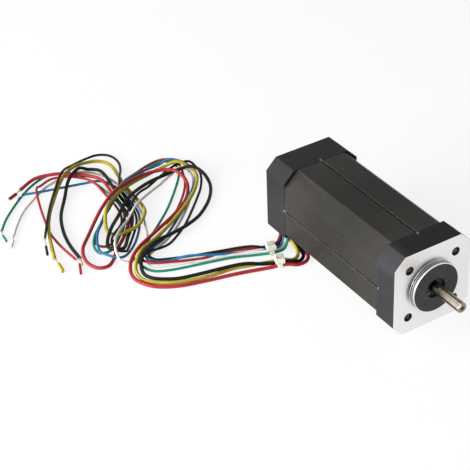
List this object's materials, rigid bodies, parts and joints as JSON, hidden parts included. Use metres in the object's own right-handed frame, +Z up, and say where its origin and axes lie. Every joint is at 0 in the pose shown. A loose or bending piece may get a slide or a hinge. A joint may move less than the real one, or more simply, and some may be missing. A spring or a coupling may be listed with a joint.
{
  "type": "brushless dc motor",
  "caption": "Square-flange brushless DC motor: round pilot, D-cut output shaft on ball bearings, laminated stator between two end bells, loose flying leads from the rear corner.",
  "frame": {"origin": "centre of the front mounting face, on the shaft axis", "axes": "+X along the shaft, out of the motor; +Z up, square to the flat base; -Y is the side that faces the viewer's left in the picture"},
  "size_m": [0.2335, 0.1519, 0.042],
  "materials": {
    "bell_paint": "satin black paint over die-cast aluminium, faces toward the shaft machined bare",
    "stack_paint": "thin black coating over laminated steel",
    "insulator": "moulded nylon",
    "copper_u": "enamelled copper wire, varnished",
    "copper_v": "enamelled copper wire, varnished",
    "copper_w": "enamelled copper wire, varnished",
    "screw_steel": "zinc-plated steel",
    "spring_steel": "spring steel",
    "board": "glass-fibre board, green mask",
    "sensor": "moulded epoxy package",
    "terminal": "moulded nylon",
    "inner_lead": "insulated inner leads",
    "tinned": "tinned copper",
    "rubber_black": "black rubber",
    "bearing_steel": "hardened bearing steel, ground",
    "shaft_steel": "ground steel",
    "rotor_steel": "laminated electrical steel",
    "magnet": "sintered magnet, nickel grey",
    "sleeve": "thin non-magnetic steel",
    "brass_ring": "turned brass",
    "cage_brass": "pressed brass",
    "phase_red_skin": "flexible silicone or vinyl insulation",
    "phase_yellow_skin": "flexible silicone or vinyl insulation",
    "phase_black_skin": "flexible silicone or vinyl insulation",
    "hall_red_skin": "flexible silicone or vinyl insulation",
    "hall_black_skin": "flexible silicone or vinyl insulation",
    "hall_blue_skin": "flexible silicone or vinyl insulation",
    "hall_green_skin": "flexible silicone or vinyl insulation",
    "hall_white_skin": "flexible silicone or vinyl insulation",
    "slug_plastic": "cut insulation slugs left on the strands",
    "tie_nylon": "natural nylon"
  },
  "bodies": {
    "housing": {"front_bell": "bell_paint", "rear_bell": "bell_paint", "stator_core": "stack_paint", "front_insulator": "insulator", "rear_insulator": "insulator", "coils_u": "copper_u", "coils_v": "copper_v", "coils_w": "copper_w", "tie_screws": "screw_steel", "lock_washers": "spring_steel", "wave_washer": "spring_steel", "sensor_board": "board", "hall_sensors": "sensor", "board_screws": "screw_steel", "terminal_strip": "terminal", "inner_leads": "inner_lead", "phase_pins": "tinned", "cable_grommet": "rubber_black", "front_outer_race": "bearing_steel", "rear_outer_race": "bearing_steel", "bearing_shields": "spring_steel", "lead_phase_red": "phase_red_skin", "lead_phase_yellow": "phase_yellow_skin", "lead_phase_black": "phase_black_skin", "lead_hall_red": "hall_red_skin", "lead_hall_black": "hall_black_skin", "lead_hall_blue": "hall_blue_skin", "lead_hall_green": "hall_green_skin", "lead_hall_white": "hall_white_skin", "strand_ends": "tinned", "phase_slugs": "slug_plastic", "hall_slugs": "slug_plastic", "cable_tie_hall": "tie_nylon", "cable_tie_phase": "tie_nylon"},
    "rotor": {"shaft": "shaft_steel", "rotor_core": "rotor_steel", "rotor_magnets": "magnet", "rotor_sleeve": "sleeve", "balance_rings": "brass_ring", "front_inner_race": "bearing_steel", "rear_inner_race": "bearing_steel"},
    "front_ball_set": {"front_balls": "bearing_steel", "front_cage": "cage_brass"},
    "rear_ball_set": {"rear_balls": "bearing_steel", "rear_cage": "cage_brass"}
  },
  "joints": [
    {"name": "rotor_spin", "type": "hinge", "parent": "housing", "child": "rotor", "pos_m": [0, 0, 0], "axis": [1, 0, 0], "continuous": true},
    {"name": "front_balls_roll", "type": "hinge", "parent": "housing", "child": "front_ball_set", "pos_m": [0, 0, 0], "axis": [1, 0, 0], "continuous": true},
    {"name": "rear_balls_roll", "type": "hinge", "parent": "housing", "child": "rear_ball_set", "pos_m": [0, 0, 0], "axis": [1, 0, 0], "continuous": true}
  ],
  "couplings": [
    {"joint": "front_balls_roll", "follows": "rotor_spin", "ratio": 0.35714},
    {"joint": "rear_balls_roll", "follows": "rotor_spin", "ratio": 0.35714}
  ]
}
